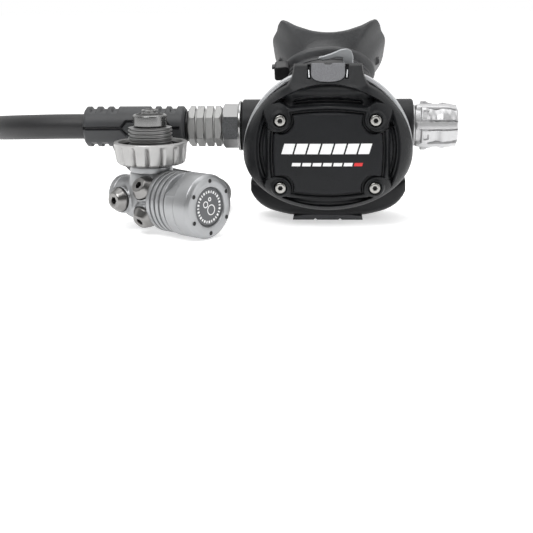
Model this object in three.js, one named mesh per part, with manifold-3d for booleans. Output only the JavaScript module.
// A scuba regulator set: DIN first stage, low-pressure hose and second stage, in millimetres, +Z up.
// The second stage stands on the flat of its exhaust tee, and the first stage lies beside it with
// its DIN stem upright. The hose leaves the second stage's inlet along -X, turns back behind the
// set, makes one loop behind it and enters the first stage's rear port.
import * as THREE from "three";
import { mergeVertices } from "three/addons/utils/BufferGeometryUtils.js";
import Module from "manifold-3d";

const wasm = await Module();
wasm.setup();

// ---------- driving dimensions ----------

const ORIGIN = [-31.3, -0.86, 0]; // the part's origin, seen from the foot of the second stage
const GAP = 0.3; // between pieces that touch
const SIDES = 20; // of a turned piece
const FEW_SIDES = 12; // of a small or hidden turned piece
const MERGE = 1e-4;

const X = new THREE.Vector3(1, 0, 0);
const Y = new THREE.Vector3(0, 1, 0);
const Z = new THREE.Vector3(0, 0, 1);

// First stage, in its own frame: x along the body to the cap, y to the rear, z up the DIN stem.
// Its sizes are before FIRST.scale: the DIN thread comes out at 22.9 mm across.
const FIRST = { place: [-91, -30.5, 16.4], turn: THREE.MathUtils.degToRad(-38), scale: 0.905 };
const BODY = { rear: -25.9, blockRear: -14, blockFront: 13, front: 27, tail: 11.4, block: 14.6, wide: 17.3 };
const GROOVES = { at: [15.6, 19.2, 22.8], width: 1.3, depth: 0.8 };
const CAP = { front: 46.6, radius: 18, bore: 14.8, chamfer: 2.4, disc: 10.4, pitch: 14.2, hole: 1.15 };
const PORT = { hole: 4.8, depth: 7.5, plugBase: 6.6, plugTop: 5.3, socket: 2.7, seat: 14.9, rise: 5.2 };
const PORT_LEAN = THREE.MathUtils.degToRad(32);
const REAR_LEAN = THREE.MathUtils.degToRad(-40);
const FRONT_AT = 7;
const SIDE_AT = -11;
const HOSE_PORT_AT = 0.5;
const STEM = { collar: 12.1, collarTop: 19.5, tube: 7.6, nose: 9.6, noseFoot: 41.4, noseTop: 48, tip: 4.7, top: 50.6 };
const DIN = { major: 12.65, minor: 11.6, bore: 8, foot: 22.6, top: 41, pitch: 2.004, crests: 5 };
const WHEEL = { radius: 20.9, lower: 18.1, foot: 19.9, top: 32.8, recess: 16, recessFloor: 22.3, flutes: 14 };

// Hose and the fittings on its second-stage end. Their axis is the second stage's inlet axis.
const INLET_Z = 50.3;
const HOSE = { radius: 6.75, sides: 8, steps: 39 };
const PROTECTOR = { left: -131, right: -76.3, radius: 10.8, bore: 7.1, valley: 9.6 };
const PROTECTOR_BANDS = [
  [-131, -127.3],
  [-124.4, -121.6],
  [-118.4, -115.6],
  [-112.6, -95.2],
  [-92.6, -89.8],
  [-86.9, -84.2],
  [-81, -76.3],
];
const SWIVEL = { left: -74.6, right: -56.4, corner: 11, grooves: [-70.4, -65.6, -60.7], bore: 6.2 };
const INLET = { left: -56.1, right: -47.8, corner: 11.85, flange: 13.5, flangeRight: -46, shank: 8.4 };

// Second stage: y runs from the cover at the front to the mouthpiece at the back.
const FACE_Z = 38.6; // height of the diaphragm's centre
const COVER = { back: -18.3, front: -31, sides: 32 };
const OUTLINE = { side: 44.1, up: 40.1, down: 30.5 };
const RING = { side: 45.3, up: 42.2, down: 30.2, back: -13, front: -18, bore: 27.1, lip: 24 };
const SHELL = { front: -12.7, wallFront: -9, opening: 25 };
const NECK = { top: 84.2, half: 18.6, foot: 66 };
const TAB = { half: 8.8, foot: 75.7, front: -24.2, slope: 0.66, thick: 3 };
const SCREW = { x: 24.3, upper: 56.2, lower: 21.6, head: 2.85, shank: 1.5, boss: 4.9 };
const BUTTON = { half: 27.8, z: 39.5, height: 20.7, front: -34, back: -27.6, gap: 0.6, scallop: 7 };
const BARREL = { outer: 8.9, bore: 5.6, left: -45.6, right: 44.6, boss: 14.2 };
const KNOB = { left: 48.6, right: 68.4, radius: 13.7, ribs: 6, neck: 11 };
const TEE = { y: 10, wall: 1.7 };
const PLATE = { half: 19.2, thick: 1.5, front: -8, back: 27 };
const VALVE = { y: 7, seat: 12.6, port: 9.2, disc: 11.2, seatZ: 8.6 };
const MOUTH = { at: [0, 0, 52], lean: THREE.MathUtils.degToRad(33), side: 22.5, half: 13.5, wall: 2.1 };
const FLANGE = { side: 31.5, sweep: 9, from: 50, thick: 4.5 };
const FLANGE_OUTLINE = [
  [0, 19.8],
  [10, 20.4],
  [19, 22.6],
  [26, 24.2],
  [28, 20.8],
  [29.2, 15.4],
  [31.5, 9.5],
  [31, 1],
  [29.4, -8],
  [24, -15],
  [12, -19],
  [0, -20],
];

// The hose's centre line, from the second stage's end to the first stage's port.
const HOSE_ROUTE = [
  [-77.9, 0, 50.3],
  [-100, 0, 50.3],
  [-122, 0, 50.3],
  [-144, 0.1, 50.3],
  [-165.2, 5.6, 49.4],
  [-182.6, 18.8, 47.7],
  [-193.6, 37.8, 45.5],
  [-196.4, 59.5, 43.1],
  [-190.9, 79.7, 41],
  [-177.7, 97.1, 39.2],
  [-158.7, 108.1, 38.1],
  [-136.3, 111, 38],
  [-114.3, 111, 38],
  [-93.3, 111, 38],
  [-71.3, 111, 38],
  [-49.3, 112.5, 37.9],
  [-29.2, 121.2, 37],
  [-13.8, 136.8, 35.7],
  [-5.1, 157, 34],
  [-4.6, 179, 32.2],
  [-12.1, 199.6, 30.5],
  [-26.8, 216, 29.1],
  [-46.4, 225.8, 28.2],
  [-67.3, 227.8, 28],
  [-88.8, 223.3, 28],
  [-108.2, 213, 28],
  [-123.9, 197.7, 28],
  [-134.8, 178.7, 28],
  [-139.9, 157.3, 28],
  [-138.9, 135.4, 26.5],
  [-131.8, 114.6, 21.2],
  [-119.2, 96.6, 14.3],
  [-102.4, 82.4, 9.9],
  [-85.1, 68.8, 8.6],
  [-70, 52.7, 8.6],
  [-62.7, 33, 8.6],
  [-63.7, 11, 10.9],
  [-69, -2.2, 15],
  [-73.5, -8.8, 16.3],
  [-75.4, -11.3, 16.4],
];

// ---------- solids ----------

// A closed three.js geometry as a manifold-3d solid.
function solid(geometry) {
  const bare = geometry.index ? geometry.toNonIndexed() : geometry.clone();
  bare.deleteAttribute("normal");
  bare.deleteAttribute("uv");
  const merged = mergeVertices(bare, MERGE);
  return new wasm.Manifold(
    new wasm.Mesh({
      numProp: 3,
      vertProperties: merged.attributes.position.array,
      triVerts: new Uint32Array(merged.index.array),
    }),
  );
}

// A manifold-3d solid as a flat-shaded three.js geometry.
function geometryOf(made) {
  const mesh = made.getMesh();
  const geometry = new THREE.BufferGeometry();
  geometry.setAttribute("position", new THREE.BufferAttribute(mesh.vertProperties, 3));
  geometry.setIndex(new THREE.BufferAttribute(mesh.triVerts, 1));
  const faceted = geometry.toNonIndexed();
  faceted.computeVertexNormals();
  return faceted;
}

// Joins several solids into one.
function joined(...pieces) {
  return pieces.reduce((sum, piece) => sum.add(piece));
}

// Cuts several solids from one.
function cut(stock, ...tools) {
  return tools.reduce((rest, tool) => rest.subtract(tool), stock);
}

// A solid of revolution. The profile lists [distance along the axis, radius], closed over the axis.
function turned(profile, axis, at = [0, 0, 0], sides = SIDES) {
  const area = profile.reduce((sum, [along, radius], i) => {
    const [nextAlong, nextRadius] = profile[(i + 1) % profile.length];
    return sum + radius * nextAlong - nextRadius * along;
  }, 0);
  const outward = area > 0 ? profile : [...profile].reverse();
  const points = outward.map(([along, radius]) => new THREE.Vector2(radius, along));
  const geometry = new THREE.LatheGeometry(points, sides);
  geometry.applyQuaternion(new THREE.Quaternion().setFromUnitVectors(Y, axis));
  geometry.translate(...at);
  return solid(geometry);
}

// A plain cylinder from one distance along its axis to another.
function rod(from, to, radius, axis, at = [0, 0, 0], sides = FEW_SIDES) {
  const profile = [
    [from, 0],
    [from, radius],
    [to, radius],
    [to, 0],
  ];
  return turned(profile, axis, at, sides);
}

// A tube with square ends.
function tube(from, to, outer, inner, axis, at = [0, 0, 0], sides = SIDES) {
  return cut(rod(from, to, outer, axis, at, sides), rod(from - 1, to + 1, inner, axis, at, sides));
}

// A rectangular block between two corners.
function block(low, high) {
  const size = high.map((value, i) => value - low[i]);
  const centre = high.map((value, i) => (value + low[i]) / 2);
  return solid(new THREE.BoxGeometry(...size).translate(...centre));
}

// A skin stretched over closed rings of points, with both ends closed.
function loft(rings) {
  const count = rings[0].length;
  const positions = rings.flat(2);
  const faces = [];
  for (let r = 0; r + 1 < rings.length; r += 1) {
    for (let i = 0; i < count; i += 1) {
      const a = r * count + i;
      const b = r * count + ((i + 1) % count);
      faces.push(a, b, a + count, b, b + count, a + count);
    }
  }
  [rings[0], rings.at(-1)].forEach((ring, end) => {
    const hub = positions.length / 3;
    const first = end ? (rings.length - 1) * count : 0;
    for (const i of [0, 1, 2]) {
      positions.push(ring.reduce((sum, point) => sum + point[i], 0) / count);
    }
    for (let i = 0; i < count; i += 1) {
      const rim = [first + i, first + ((i + 1) % count)];
      faces.push(hub, ...(end ? rim : rim.reverse()));
    }
  });
  const geometry = new THREE.BufferGeometry();
  geometry.setAttribute("position", new THREE.Float32BufferAttribute(positions, 3));
  geometry.setIndex(volumeOf(positions, faces) < 0 ? faces.reverse() : faces);
  return solid(geometry);
}

// Six times the volume inside a triangle list, negative when its faces point inwards.
function volumeOf(positions, faces) {
  const corner = (i) => new THREE.Vector3(...positions.slice(3 * i, 3 * i + 3));
  let sum = 0;
  for (let i = 0; i < faces.length; i += 3) {
    sum += corner(faces[i]).dot(corner(faces[i + 1]).cross(corner(faces[i + 2])));
  }
  return sum;
}

// A flat outline pushed through from one y to another. Its points are [x, z].
function slab(points, back, front) {
  const shape = new THREE.Shape(points.map(([x, z]) => new THREE.Vector2(x, z)));
  const geometry = new THREE.ExtrudeGeometry(shape, { depth: back - front, bevelEnabled: false });
  return solid(geometry.rotateX(Math.PI / 2).translate(0, back, 0));
}

// Evenly spaced angles round a full turn.
function angles(count) {
  return Array.from({ length: count }, (_, i) => (2 * Math.PI * i) / count);
}

// A signed power, for outlines between an ellipse and a rectangle.
function squared(value, power) {
  return Math.sign(value) * Math.abs(value) ** power;
}

class Helix extends THREE.Curve {
  constructor(radius, turns, length) {
    super();
    Object.assign(this, { radius, turns, length });
  }

  getPoint(t, target = new THREE.Vector3()) {
    const angle = 2 * Math.PI * this.turns * t;
    return target.set(this.radius * Math.cos(angle), this.length * t, this.radius * Math.sin(angle));
  }
}

// A round-wire coil spring from one distance along its axis to another.
function spring(from, to, radius, wire, turns, axis, at) {
  const section = new THREE.Shape(angles(4).map((a) => new THREE.Vector2(wire * Math.cos(a), wire * Math.sin(a))));
  const length = to - from - 2 * wire;
  const geometry = new THREE.ExtrudeGeometry(section, {
    steps: turns * 9,
    extrudePath: new Helix(radius, turns, length),
    bevelEnabled: false,
  });
  geometry.translate(0, from + wire, 0);
  geometry.applyQuaternion(new THREE.Quaternion().setFromUnitVectors(Y, axis));
  geometry.translate(...at);
  return solid(geometry);
}

// ---------- materials ----------

function finish(color, roughness, metalness) {
  return new THREE.MeshStandardMaterial({ color, roughness, metalness });
}

const MATERIAL = {
  black: finish(0x2a2c2e, 0.6, 0),
  silicone: finish(0x4a4c4f, 0.55, 0),
  rubber: finish(0x3c3f42, 0.7, 0),
  hose: finish(0x232426, 0.6, 0),
  pearl: finish(0xb0b3b6, 0.3, 0.9),
  chrome: finish(0xd8dadc, 0.12, 1),
  nickel: finish(0xaaaba8, 0.3, 1),
  wheel: finish(0xc8c6be, 0.4, 0.6),
  greyDisc: finish(0x606366, 0.5, 0.2),
  knob: finish(0xe1e2e2, 0.35, 0.5),
  silverRing: finish(0xc3c5c6, 0.35, 0.6),
  greyTab: finish(0x6e7173, 0.7, 0),
  greyPlate: finish(0x5a5d60, 0.6, 0),
  steel: finish(0xb9bbbd, 0.3, 1),
  brass: finish(0xb59a55, 0.35, 1),
  clear: finish(0xd5d6d2, 0.5, 0),
};

const group = new THREE.Group();

// Adds a named sub-part to an assembly.
function add(assembly, name, made, material) {
  const mesh = new THREE.Mesh(geometryOf(made), material);
  mesh.name = name;
  assembly.add(mesh);
}

// ---------- first stage ----------

// The outward direction of a port, leaning up or down from the front or the rear.
function portDirection(lean, side) {
  return new THREE.Vector3(0, side * Math.cos(lean), Math.sin(lean));
}

const PORTS = {
  front_plug_upper: [FRONT_AT, portDirection(PORT_LEAN, -1)],
  front_plug_lower: [FRONT_AT, portDirection(-PORT_LEAN, -1)],
  side_plug_front: [SIDE_AT, portDirection(0, -1)],
  side_plug_rear: [SIDE_AT, portDirection(REAR_LEAN, 1)],
  hose_port: [HOSE_PORT_AT, portDirection(0, 1)],
};

// The body's outer form: a round tail, the port block and the wide grooved front.
function bodyStock() {
  const { rear, blockRear, blockFront, front, tail, block: middle, wide } = BODY;
  const profile = [
    [rear, 0],
    [rear, tail - 1.2],
    [rear + 1.2, tail],
    [blockRear - 2.4, tail],
    [blockRear, middle],
    [blockFront - 1.6, middle],
    [blockFront, wide],
  ];
  GROOVES.at.forEach((at) => {
    profile.push([at, wide], [at, wide - GROOVES.depth]);
    profile.push([at + GROOVES.width, wide - GROOVES.depth], [at + GROOVES.width, wide]);
  });
  profile.push([front, wide], [front, 0]);
  return turned(profile, X);
}

function firstStageBody() {
  const seats = Object.values(PORTS).map(([at, direction]) => rod(9, PORT.seat, 7, direction, [at, 0, 0], 14));
  const spotFaces = Object.entries(PORTS).map(([name, [at, direction]]) =>
    rod(PORT.seat, 24, name === "hose_port" ? 8.8 : 7, direction, [at, 0, 0], 14),
  );
  const holes = Object.values(PORTS).map(([at, direction]) =>
    rod(PORT.seat - PORT.depth, PORT.seat + 1, PORT.hole, direction, [at, 0, 0], 10),
  );
  const stock = joined(bodyStock(), rod(0, STEM.collarTop - 3.6, STEM.collar, Z, [0, 0, 0], SIDES), ...seats);
  const bore = [
    [BODY.rear - 1, 0],
    [BODY.rear - 1, 8.6],
    [-21, 8.6],
    [-21, 5.8],
    [1.5, 5.8],
    [1.5, 2.2],
    [5.5, 2.2],
    [5.5, 7],
    [17, 7],
    [20, 13.4],
    [BODY.front + 1, 13.4],
    [BODY.front + 1, 0],
  ];
  return cut(stock, turned(bore, X), rod(4, STEM.collarTop, 5.2, Z), ...spotFaces, ...holes);
}

function environmentalCap() {
  const { front, radius, bore, chamfer, disc } = CAP;
  const back = BODY.front + GAP;
  const outer = [
    [back, 0],
    [back, radius - 0.6],
    [back + 0.6, radius],
    [back + 9, radius],
    [back + 9.3, radius - 0.5],
    [back + 10.3, radius - 0.5],
    [back + 10.6, radius],
    [front - chamfer, radius],
    [front, radius - chamfer],
    [front, 0],
  ];
  const hollow = [
    [back - 1, 0],
    [back - 1, bore],
    [front - 4.6, bore],
    [front - 3.6, disc - 1.4],
    [front - 2.6, disc - 1.4],
    [front - 2.6, disc + GAP],
    [front + 1, disc + GAP],
    [front + 1, 0],
  ];
  const holes = angles(6).map((a) => {
    const at = [0, CAP.pitch * Math.cos(a), CAP.pitch * Math.sin(a)];
    return rod(front - 2, front + 1, CAP.hole, X, at, 10);
  });
  return cut(turned(outer, X), turned(hollow, X), ...holes);
}

// A port plug: a tapered round head with a hexagon socket, and its threaded shank.
function portPlug(at, direction) {
  const { seat, rise, plugBase, plugTop, socket, hole, depth } = PORT;
  const profile = [
    [seat - depth + 1, 0],
    [seat - depth + 1, hole - GAP],
    [seat + GAP, hole - GAP],
    [seat + GAP, plugBase],
    [seat + 2.2, plugBase],
    [seat + rise, plugTop],
    [seat + rise, 0],
  ];
  const key = rod(seat + 1.6, seat + rise + 1, socket, direction, [at, 0, 0], 6);
  return cut(turned(profile, direction, [at, 0, 0], 14), key);
}

function dinConnector() {
  const { collar, collarTop, tube: neck, nose, noseFoot, noseTop, tip, top } = STEM;
  const profile = [
    [5, 0],
    [5, 4.9],
    [collarTop - 3.3, 4.9],
    [collarTop - 3.3, collar],
    [collarTop - 0.8, collar],
    [collarTop, collar - 0.8],
    [collarTop, neck],
    [noseFoot, neck],
    [noseFoot, nose],
    [noseTop - 0.8, nose],
    [noseTop, nose - 0.8],
    [noseTop, tip + 0.6],
    [noseTop - 0.9, tip + 0.6],
    [noseTop - 0.9, tip],
    [top, tip],
    [top, 0],
  ];
  return cut(turned(profile, Z), rod(4, top - 12, 2.6, Z), rod(top - 13, top + 1, 3.2, Z));
}

function dinThreadedStem() {
  const { major, minor, bore, foot, top, pitch, crests } = DIN;
  const threadFoot = top - 1 - crests * pitch;
  const profile = [
    [foot, bore],
    [foot, major],
    [threadFoot - 1.6, major],
    [threadFoot - 1.2, minor],
  ];
  for (let i = 0; i < crests; i += 1) {
    const crest = threadFoot + pitch * (i + 0.5);
    profile.push([crest - pitch / 2, minor], [crest, major]);
  }
  profile.push([top - 1, minor], [top, minor - 0.4], [top, bore]);
  return turned([...profile, profile[0]], Z);
}

function dinHandwheel() {
  const { radius, lower, foot, top, recess, recessFloor, flutes } = WHEEL;
  const profile = [
    [foot, 0],
    [foot, lower - 1],
    [foot + 1, lower],
    [top - 1.4, radius],
    [top - 0.4, radius],
    [top, radius - 0.6],
    [top, recess],
    [recessFloor, recess - 1.4],
    [recessFloor, 0],
  ];
  const flute = angles(flutes).map((a) => {
    const at = [(radius + 1.5) * Math.cos(a), (radius + 1.5) * Math.sin(a), 0];
    return rod(foot - 1, top + 1, 2.7, Z, at, 8);
  });
  return cut(turned(profile, Z, [0, 0, 0], 28), rod(foot - 1, top, STEM.tube + GAP, Z), ...flute);
}

function addFirstStage(parent) {
  const stage = new THREE.Group();
  stage.position.set(...FIRST.place);
  stage.rotation.z = FIRST.turn;
  parent.add(stage);
  const put = (name, made, material) => add(stage, name, made.scale(FIRST.scale), material);
  put("first_stage_body", firstStageBody(), MATERIAL.pearl);
  put("environmental_cap", environmentalCap(), MATERIAL.pearl);
  put("cap_disc", rod(CAP.front - 2.3, CAP.front - 1.1, CAP.disc, X, [0, 0, 0], SIDES), MATERIAL.greyDisc);
  put("main_diaphragm", tube(27.3, 28.3, 14.4, 7, X), MATERIAL.rubber);
  put("diaphragm_plate", rod(26.9, 28.7, 6.6, X), MATERIAL.brass);
  put("transmitter_pin", rod(0.2, 26.6, 1.3, X, [0, 0, 0], 12), MATERIAL.steel);
  const pad = joined(rod(29, 30.6, 8, X), rod(30.5, 33, 4.4, X));
  put("spring_pad", pad, MATERIAL.brass);
  put("main_spring", spring(30.9, 38.6, 6.4, 1, 3, X, [0, 0, 0]), MATERIAL.steel);
  put("adjusting_screw", cut(rod(38.9, 42.6, 8.7, X), rod(40.5, 43, 3.5, X, [0, 0, 0], 6)), MATERIAL.brass);
  put("seat_poppet", joined(rod(-13, -0.1, 3.4, X), rod(-14, -11.5, 5.2, X)), MATERIAL.brass);
  put("seat_poppet_spring", spring(-20.8, -15, 4, 0.6, 3, X, [0, 0, 0]), MATERIAL.steel);
  const plug = joined(rod(-24.4, -21.3, 8.3, X), rod(BODY.rear - 1.6, -24.3, 7.8, X));
  put("balance_plug", cut(plug, rod(BODY.rear - 2, -24.6, 3.6, X, [0, 0, 0], 6)), MATERIAL.chrome);
  put("din_connector", dinConnector(), MATERIAL.chrome);
  const filter = [[STEM.top - 11.5, 0], [STEM.top - 11.5, 2.6], [STEM.top - 2.1, 1], [STEM.top - 2.1, 0]];
  put("din_filter", turned(filter, Z, [0, 0, 0], 12), MATERIAL.brass);
  put("din_threaded_stem", dinThreadedStem(), MATERIAL.chrome);
  put("din_handwheel", dinHandwheel(), MATERIAL.wheel);
  const ring = angles(6).map((a) => [STEM.noseTop + 0.35 + 0.85 * Math.sin(a), 6.6 + 0.85 * Math.cos(a)]);
  put("din_o_ring", turned([...ring, ring[0]], Z, [0, 0, 0.9], 16), MATERIAL.rubber);
  for (const [name, [at, direction]] of Object.entries(PORTS)) {
    if (name !== "hose_port") put(name, portPlug(at, direction), MATERIAL.chrome);
  }
  addPortFitting(put);
}

// The hose's first-stage end: a hexagon fitting screwed in the rear port, and its crimped ferrule.
function addPortFitting(put) {
  const at = [HOSE_PORT_AT, 0, 0];
  const { seat, hole, depth } = PORT;
  const fitting = [
    [seat - depth + 1, 0],
    [seat - depth + 1, hole - GAP],
    [seat + GAP, hole - GAP],
    [seat + GAP, 8.2],
    [seat + 6.3, 8.2],
    [seat + 7.1, 6.4],
    [seat + 7.1, 0],
  ];
  const hexagon = rod(seat - depth, seat + 8, 8.4, Y, at, 6);
  const bore = rod(seat - depth, seat + 8, 2.2, Y, at, 12);
  put("port_fitting", cut(turned(fitting, Y, at, 18).intersect(hexagon), bore), MATERIAL.nickel);
  const ferrule = [
    [seat + 7.4, 0],
    [seat + 7.4, 7.4],
    [seat + 8.2, 8],
    [seat + 11.4, 8],
    [seat + 12.1, 7.6],
    [seat + 12.1, 0],
  ];
  put("port_ferrule", cut(turned(ferrule, Y, at, 14), rod(seat + 7, seat + 13, 2.2, Y, at, 8)), MATERIAL.nickel);
}

// ---------- hose ----------

function hoseTube() {
  const path = new THREE.CatmullRomCurve3(
    HOSE_ROUTE.map((point) => new THREE.Vector3(...point)),
    false,
    "centripetal",
  );
  const { radius, sides, steps } = HOSE;
  const section = angles(sides).map((a) => new THREE.Vector2(radius * Math.cos(a), radius * Math.sin(a)));
  const geometry = new THREE.ExtrudeGeometry(new THREE.Shape(section), {
    steps,
    extrudePath: path,
    bevelEnabled: false,
  });
  return solid(geometry);
}

// The slotted rubber sleeve, with raised bands round it.
function hoseProtector() {
  const { radius, bore, valley } = PROTECTOR;
  const profile = PROTECTOR_BANDS.flatMap(([left, right], i) => {
    const band = [[left, radius], [right, radius]];
    const next = PROTECTOR_BANDS[i + 1];
    return next ? [...band, [right, valley], [next[0], valley]] : band;
  });
  const skin = [[PROTECTOR.left, bore], ...profile, [PROTECTOR.right, bore], [PROTECTOR.left, bore]];
  return turned(skin, X, [0, 0, INLET_Z], 16);
}

function hoseFerrule() {
  const profile = [
    [-77.6, 0],
    [-77.6, 6.8],
    [-76, 6.8],
    [-76, 8.2],
    [-75, 8.2],
    [-74.9, 0],
  ];
  const stock = turned(profile, X, [0, 0, INLET_Z], 16);
  return cut(stock, rod(-80, -74, 3, X, [0, 0, INLET_Z]));
}

// A nut on the inlet axis: a hexagon with turned ends and a bore.
function inletAxisNut(profile, corner, bore, left, right) {
  const at = [0, 0, INLET_Z];
  const hexagon = rod(left, right, corner, X, at, 6);
  return cut(turned(profile, X, at).intersect(hexagon), rod(left - 1, right + 1, bore, X, at));
}

function swivelNut() {
  const { left, right, corner, grooves, bore } = SWIVEL;
  const profile = [
    [left, 0],
    [left, corner - 1.8],
    [left + 1.1, corner],
  ];
  grooves.forEach((at) => {
    profile.push([at - 0.5, corner], [at - 0.5, corner - 2.2], [at + 0.5, corner - 2.2], [at + 0.5, corner]);
  });
  profile.push([right - 1.1, corner], [right, corner - 1.8], [right, 0]);
  return inletAxisNut(profile, corner, bore, left, right);
}

function inletNut() {
  const { left, right, corner, flange, flangeRight, shank } = INLET;
  const at = [0, 0, INLET_Z];
  const profile = [
    [left, 0],
    [left, corner - 2],
    [left + 0.9, corner],
    [right, corner],
    [right, 0],
  ];
  const nut = inletAxisNut(profile, corner, 3.2, left, right);
  const collar = tube(right - 0.1, flangeRight, flange, 3.2, X, at);
  const spigot = tube(flangeRight - 0.1, -38, 5.2, 3.2, X, at);
  const hoseSide = tube(left - 12, left + 0.1, SWIVEL.bore - GAP, 3.2, X, at);
  return joined(nut, collar, spigot, hoseSide);
}

function addHose(parent) {
  add(parent, "hose", hoseTube(), MATERIAL.hose);
  add(parent, "hose_protector", hoseProtector(), MATERIAL.rubber);
  add(parent, "hose_ferrule", hoseFerrule(), MATERIAL.black);
  add(parent, "swivel_nut", swivelNut(), MATERIAL.nickel);
}

// ---------- second stage ----------

// A ring of points round the egg-shaped outline, at one y. It is taller above its centre than below.
function eggRing(y, side, up, down, count = COVER.sides) {
  return angles(count).map((a) => {
    const height = Math.sin(a) > 0 ? up : down;
    return [side * Math.cos(a), y, FACE_Z + height * Math.sin(a)];
  });
}

// A loft over eggs given as [y, side, up, down], all grown by the same amount.
function eggLoft(rings, grow = 0, count = COVER.sides) {
  return loft(rings.map(([y, side, up, down]) => eggRing(y, side + grow, up + grow, down + grow, count)));
}

// The neck that carries the latch tab: it leans back as it rises.
function neck(grow) {
  const levels = [
    [NECK.foot, 24.5, -27.5, -19],
    [72, 21.4, -24.8, -12],
    [78, 19.7, -21.8, -10],
    [NECK.top, NECK.half, -17.5, -8],
  ];
  const rings = levels.map(([z, half, front, back], i) => {
    const height = z + (i === levels.length - 1 ? grow : 0);
    const [left, right] = [-half - grow, half + grow];
    const corners = [[left, back + grow], [right, back + grow], [right - 1.5, front - grow], [left + 1.5, front - grow]];
    return corners.map(([x, y]) => [x, y, height]);
  });
  return loft(rings);
}

const SCREW_PLACES = [
  [-SCREW.x, SCREW.upper],
  [SCREW.x, SCREW.upper],
  [-SCREW.x, SCREW.lower],
  [SCREW.x, SCREW.lower],
];

// The button's outline grown outwards, with a round bay for each screw boss.
function buttonStock(back, front, grow) {
  const outline = angles(24).map((a) => {
    const x = (BUTTON.half + grow) * squared(Math.cos(a), 0.55);
    const z = (BUTTON.height + grow) * squared(Math.sin(a), 0.62);
    return [x, BUTTON.z + z];
  });
  const bays = SCREW_PLACES.map(([x, z]) => rod(front - 1, back + 1, BUTTON.scallop - grow, Y, [x, 0, z], 14));
  return cut(slab(outline, back, front), ...bays);
}

function frontCover() {
  const { side, up, down } = OUTLINE;
  const outer = [
    [COVER.back, side, up, down],
    [-22.5, side - 0.5, up - 0.6, down - 0.5],
    [-27, side - 3.6, up - 3.8, down - 3.1],
    [-30, side - 8.4, up - 9, down - 7],
    [COVER.front, side - 12, up - 12.4, down - 9.2],
  ];
  const inner = [
    [COVER.back + 1, side - 2.6, up - 2.6, down - 2.6],
    [-22, side - 3.1, up - 3.2, down - 3.1],
    [-26, side - 6.4, up - 6.6, down - 5.6],
    [-28.4, side - 11.6, up - 12.4, down - 9.4],
  ];
  const seats = SCREW_PLACES.map(([x, z]) => rod(COVER.back, -30.6, SCREW.boss, Y, [x, 0, z], 16));
  const shafts = SCREW_PLACES.map(([x, z]) => rod(COVER.back + 1, -32, SCREW.shank + GAP, Y, [x, 0, z], 10));
  const heads = SCREW_PLACES.map(([x, z]) => rod(-28.3, -32, SCREW.head + GAP, Y, [x, 0, z], 14));
  const opening = buttonStock(COVER.back + 2, COVER.front - 4, BUTTON.gap);
  const shell = cut(eggLoft(outer), eggLoft(inner));
  const webbed = joined(cut(shell, opening), ...seats, neck(0));
  return cut(webbed, ...shafts, ...heads, tabSpace(GAP));
}

// The wedge that the latch tab fills on the neck's sloping front.
function tabSpace(grow) {
  const half = TAB.half + grow;
  const rings = [TAB.foot - grow, NECK.top + 4 * grow].map((z) => {
    const front = TAB.front + TAB.slope * (z - TAB.foot) - grow;
    const back = front + TAB.thick + 2 * grow;
    return [[-half, back, z], [half, back, z], [half, front, z], [-half, front, z]];
  });
  return loft(rings);
}

function clampRing() {
  const { side, up, down, back, front, bore, lip } = RING;
  const eggs = [
    [back, side, up, down],
    [front, side, up, down],
  ];
  const at = [0, 0, FACE_Z];
  const holes = SCREW_PLACES.map(([x, z]) => rod(front - 1, back + 1, SCREW.shank + GAP, Y, [x, 0, z], 10));
  const stepped = [rod(front - 1, -14.6, bore, Y, at, SIDES), rod(-15, back + 1, lip, Y, at, SIDES)];
  return cut(eggLoft(eggs), ...stepped, neck(GAP), ...holes);
}

// The housing's outer form without its bosses.
function housingStock(grow) {
  const rings = [
    [SHELL.front - grow, 43.6, 41, 29.4],
    [0, 43.2, 40.6, 28.6],
    [13, 38.6, 35.6, 24.4],
    [23 + grow, 30, 27, 17.4],
  ];
  return eggLoft(rings, grow, 28);
}

// A point on the mouthpiece's slanting tube: sideways, across and along it.
function onTube(x, across, along) {
  const { at, lean } = MOUTH;
  const y = at[1] + along * Math.cos(lean) - across * Math.sin(lean);
  const z = at[2] + along * Math.sin(lean) + across * Math.cos(lean);
  return [x, y, z];
}

// An oval ring across the mouthpiece's tube.
function ovalRing(along, side, half, count = 20) {
  return angles(count).map((a) => onTube(side * Math.cos(a), half * Math.sin(a), along));
}

function ovalLoft(from, to, side, half) {
  return loft([ovalRing(from, side, half), ovalRing(to, side, half)]);
}

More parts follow.
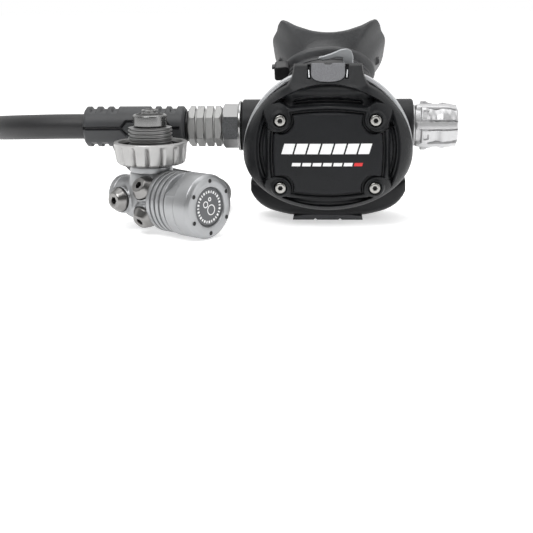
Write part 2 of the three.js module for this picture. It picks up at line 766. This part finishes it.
function housing() {
  const cavity = [
    [SHELL.wallFront, 39.6, 28.4, 26],
    [0, 39.4, 28.4, 25.4],
    [11, 34.6, 26, 21],
    [20, 26.6, 21, 14.6],
  ];
  const inner = eggLoft(cavity, 0, 24);
  const face = [0, 0, FACE_Z];
  const inletAxis = [0, 0, INLET_Z];
  const valveAxis = [0, VALVE.y, 0];
  const boss = rod(BARREL.left + 0.1, BARREL.right + 0.3, BARREL.boss, X, inletAxis, SIDES);
  const { side, half, wall } = MOUTH;
  const spigot = ovalLoft(6, 42, side - wall - 0.4, half - wall - 0.4);
  const airway = ovalLoft(4, 43, side - wall - 2.4, half - wall - 2.4);
  const seat = rod(VALVE.seatZ, 17, VALVE.seat, Z, valveAxis, SIDES);
  const port = rod(VALVE.seatZ - 1, 20, VALVE.port, Z, valveAxis, SIDES);
  const spider = block([-9.6, VALVE.y - 1.8, VALVE.seatZ], [9.6, VALVE.y + 1.8, VALVE.seatZ + 2]);
  const stemHole = rod(VALVE.seatZ - 1, VALVE.seatZ + 3, 1.2, Z, valveAxis, 12);
  const opening = rod(SHELL.front - 1, SHELL.wallFront + 0.5, SHELL.opening, Y, face, SIDES);
  const bore = rod(BARREL.left - 1, BARREL.right + 2, BARREL.outer + GAP, X, inletAxis, 24);
  const threads = SCREW_PLACES.map(([x, z]) => rod(SHELL.front - 1, -9.6, SCREW.shank + GAP, Y, [x, 0, z], 10));
  const leverSlot = block([-12, -4.2, 70], [19, 0.4, 85]);
  const coverSide = block([-60, -30, 0], [60, SHELL.front, 100]);
  const stock = joined(housingStock(0), boss, spigot, seat);
  const hollowed = joined(cut(stock, inner, airway, opening, port), spider);
  return cut(hollowed, bore, stemHole, neck(GAP), leverSlot, coverSide, ...threads);
}

function purgeButton() {
  const dome = loft([
    eggRing(BUTTON.back + 1, 40, 40, 40, 36),
    eggRing(-31.6, 31, 26, 26, 36),
    eggRing(-33.2, 24, 18, 18, 36),
    eggRing(BUTTON.front, 12, 9, 9, 36),
  ]);
  const solidButton = buttonStock(BUTTON.back, BUTTON.front - 1, 0).intersect(dome);
  const hollow = rod(BUTTON.back + 1, -30.2, 12.6, Y, [0, 0, FACE_Z], 24);
  const pin = rod(BUTTON.back - 3, -17.9, 2.4, Y, [0, 0, FACE_Z], 12);
  return joined(cut(solidButton, hollow), pin);
}

function valveBarrel() {
  const at = [0, 0, INLET_Z];
  const { outer, bore, left, right } = BARREL;
  const window = block([8, -outer - 1, INLET_Z - 3.4], [20, -4, INLET_Z + 3.4]);
  const outlet = block([-14, 4, INLET_Z - 3], [2, outer + 1, INLET_Z + 3]);
  return cut(tube(left, right, outer, bore, X, at, 24), window, outlet);
}

function adjustingKnob() {
  const at = [0, 0, INLET_Z];
  const { left, right, radius, ribs } = KNOB;
  const profile = [
    [left, 0],
    [left, radius - 0.6],
    [left + 0.6, radius],
    [left + 2.6, radius],
    [left + 6, radius - 1.8],
    [left + 8.6, radius - 2.5],
    [left + 12, radius - 1.4],
    [left + 16, radius - 2.6],
    [right - 1, radius - 6],
    [right, radius - 8.4],
    [right, 0],
  ];
  const windows = angles(ribs).map((a) => {
    const away = radius + 0.6;
    const centre = [0, away * Math.cos(a + Math.PI / ribs), INLET_Z + away * Math.sin(a + Math.PI / ribs)];
    return rod(left + 5.2, right - 4, 3.6, X, centre, 10);
  });
  const socket = rod(left - 1, left + 9, 4.2, X, at);
  return cut(turned(profile, X, at), socket, ...windows);
}

function addValve(stage) {
  const at = [0, 0, INLET_Z];
  add(stage, "inlet_nut", inletNut(), MATERIAL.chrome);
  add(stage, "valve_barrel", valveBarrel(), MATERIAL.nickel);
  add(stage, "orifice", cut(rod(-37.6, -20.4, 5.2, X, at), rod(-38, -20, 2, X, at, 12)), MATERIAL.brass);
  add(stage, "poppet_seat", rod(-20, -18.4, 3.2, X, at), MATERIAL.rubber);
  add(stage, "poppet", joined(rod(-18.1, 20, 2.6, X, at), rod(-3, -1, 5, X, at)), MATERIAL.clear);
  add(stage, "poppet_spring", spring(0.4, 17.6, 4, 0.5, 5, X, at), MATERIAL.steel);
  add(stage, "balance_chamber", cut(rod(18, 26, 5.2, X, at), rod(17, 24, 3, X, at)), MATERIAL.brass);
  add(stage, "adjusting_stem", joined(rod(26.4, 44, 5.2, X, at), rod(43, 56, 3.9, X, at)), MATERIAL.steel);
  add(stage, "knob_collar", tube(45.2, 48.2, KNOB.neck, 4.3, X, at), MATERIAL.black);
  add(stage, "adjusting_knob", adjustingKnob(), MATERIAL.knob);
  const arm = block([-1.5, -11.2, 37], [17.6, -10.2, 40]);
  const tip = block([-1.5, -13.4, 37], [2, -10.3, 40]);
  const post = block([15.4, -11.2, 39.9], [17.6, -10.2, 52]);
  const foot = block([13.2, -10.3, 48.6], [17.6, -5.1, 52]);
  add(stage, "demand_lever", joined(arm, tip, post, foot), MATERIAL.steel);
}

function exhaustTee(grow, wall) {
  const stations = [
    [0, 1.8, 17, 19],
    [20, 1.8, 17.4, 18.6],
    [27.5, 3.3, 19, 17],
    [33.8, 5.2, 20.6, 15],
    [38.4, 8.9, 21.4, 13.4],
    [42.4, 12.6, 21.8, 11.6],
  ];
  const mirrored = stations.slice(1).map(([x, low, high, deep]) => [-x, low, high, deep]).reverse();
  const rings = [...mirrored, ...stations].map(([x, low, high, deep]) => {
    const reach = Math.abs(x) > 42 ? Math.sign(x) * grow : 0;
    const middle = (low + high) / 2;
    const half = (high - low) / 2 - wall;
    return angles(14).map((a) => {
      const y = TEE.y + (deep - wall) * squared(Math.cos(a), 0.6);
      return [x + reach, y, middle + half * squared(Math.sin(a), 0.6)];
    });
  });
  return loft(rings);
}

function mouthpiece() {
  const { side, half, wall } = MOUTH;
  const mirrored = FLANGE_OUTLINE.slice(1, -1).map(([x, across]) => [-x, across]).reverse();
  const flangeRing = (along, share) =>
    [...FLANGE_OUTLINE, ...mirrored].map(([x, across]) =>
      onTube(share * x, share * across, along + FLANGE.sweep * ((share * x) / FLANGE.side) ** 2),
    );
  const sleeve = loft([ovalRing(24, side, half), ovalRing(46, side, half), ovalRing(54, side + 1.5, half + 1.5)]);
  const { from, thick } = FLANGE;
  const flange = loft([flangeRing(from, 0.9), flangeRing(from + 1.5, 1), flangeRing(from + thick, 0.98)]);
  const airway = ovalLoft(22, 46, side - wall, half - wall);
  const mouthHole = ovalLoft(45, 75, side - 5.5, half - 4.5);
  const tabs = [-1, 1].flatMap((hand) => {
    const strip = (from, to, deep, alongFrom, alongTo) =>
      loft(
        [alongFrom, alongTo].map((along) =>
          [[from, -deep], [to, -deep], [to, deep], [from, deep]].map(([x, across]) => onTube(hand * x, across, along)),
        ),
      );
    return [strip(18.5, 29, 1.6, 54, 76), strip(18.5, 29, 4.6, 73, 76)];
  });
  return joined(cut(joined(sleeve, flange), airway, mouthHole), ...tabs);
}

function mouthpieceTie() {
  const { side, half } = MOUTH;
  const band = cut(
    ovalLoft(33, 37.2, side + 1.7, half + 1.7),
    ovalLoft(32, 38.2, side + GAP, half + GAP),
  );
  const corners = [[-30.5, 3.4], [-23, 3.4], [-23, 12.8], [-30.5, 12.8]];
  const head = loft([32.2, 38].map((along) => corners.map(([x, across]) => onTube(x, across, along))));
  return joined(band, head);
}

function venturiLever() {
  const outline = [
    [1, 71.5],
    [8, 71.5],
    [13, 78],
    [13.2, 87.4],
    [11.4, 90.4],
    [8, 91.2],
    [3, 90],
    [-4.8, 86.9],
    [-5.2, 85.2],
    [-3.6, 84.8],
    [4.6, 86.6],
    [8.4, 86.4],
    [8.6, 79.4],
  ];
  return slab(outline, -0.4, -3.2);
}

function addCover(stage) {
  add(stage, "clamp_ring", clampRing(), MATERIAL.silverRing);
  add(stage, "front_cover", frontCover(), MATERIAL.black);
  add(stage, "purge_button", purgeButton(), MATERIAL.black);
  const face = [0, 0, FACE_Z];
  add(stage, "purge_spring", spring(-30, -18.8, 10.6, 0.5, 3, Y, face), MATERIAL.steel);
  add(stage, "diaphragm", tube(-15.9, -14.9, RING.bore - GAP, 14.4, Y, face), MATERIAL.silicone);
  add(stage, "diaphragm_disc", rod(-17.5, -14.2, 14, Y, face), MATERIAL.steel);
  SCREW_PLACES.forEach(([x, z], i) => {
    const shank = rod(-28.7, -9.9, SCREW.shank, Y, [x, 0, z], 8);
    const head = rod(-30.9, -28.6, SCREW.head, Y, [x, 0, z], 14);
    const key = rod(-32, -29.4, 1.5, Y, [x, 0, z], 6);
    add(stage, `cover_screw_${i + 1}`, cut(joined(shank, head), key), MATERIAL.steel);
  });
  add(stage, "latch_tab", tabSpace(0), MATERIAL.greyTab);
  add(stage, "venturi_lever", venturiLever(), MATERIAL.silverRing);
}

function addShell(stage) {
  const valveAxis = [0, VALVE.y, 0];
  add(stage, "housing", housing(), MATERIAL.black);
  const seatSpace = rod(0, 20, VALVE.seat + GAP, Z, valveAxis, SIDES);
  const cover = block([-60, -30, 1.8], [60, SHELL.front + 0.6, 60]);
  const topCut = seatSpace.intersect(block([-20, -20, 7], [20, 40, 30]));
  const tee = cut(exhaustTee(0, 0), exhaustTee(1, TEE.wall), housingStock(GAP), cover, topCut);
  add(stage, "exhaust_tee", tee, MATERIAL.black);
  add(stage, "tee_bottom_plate", block([-PLATE.half, PLATE.front, 0], [PLATE.half, PLATE.back, PLATE.thick]), MATERIAL.greyPlate);
  const { disc, seatZ } = VALVE;
  const flap = joined(rod(seatZ - 1.3, seatZ - GAP, disc, Z, valveAxis), rod(seatZ - 0.5, seatZ + 3.4, 0.9, Z, valveAxis, 12));
  add(stage, "exhaust_valve", flap, MATERIAL.silicone);
  add(stage, "mouthpiece", mouthpiece(), MATERIAL.silicone);
  add(stage, "mouthpiece_tie", mouthpieceTie(), MATERIAL.black);
}

// ---------- the whole set ----------

const set = new THREE.Group();
set.position.set(...ORIGIN.map((value) => -value));
group.add(set);
addFirstStage(set);
addHose(set);
addValve(set);
addCover(set);
addShell(set);

export default group;
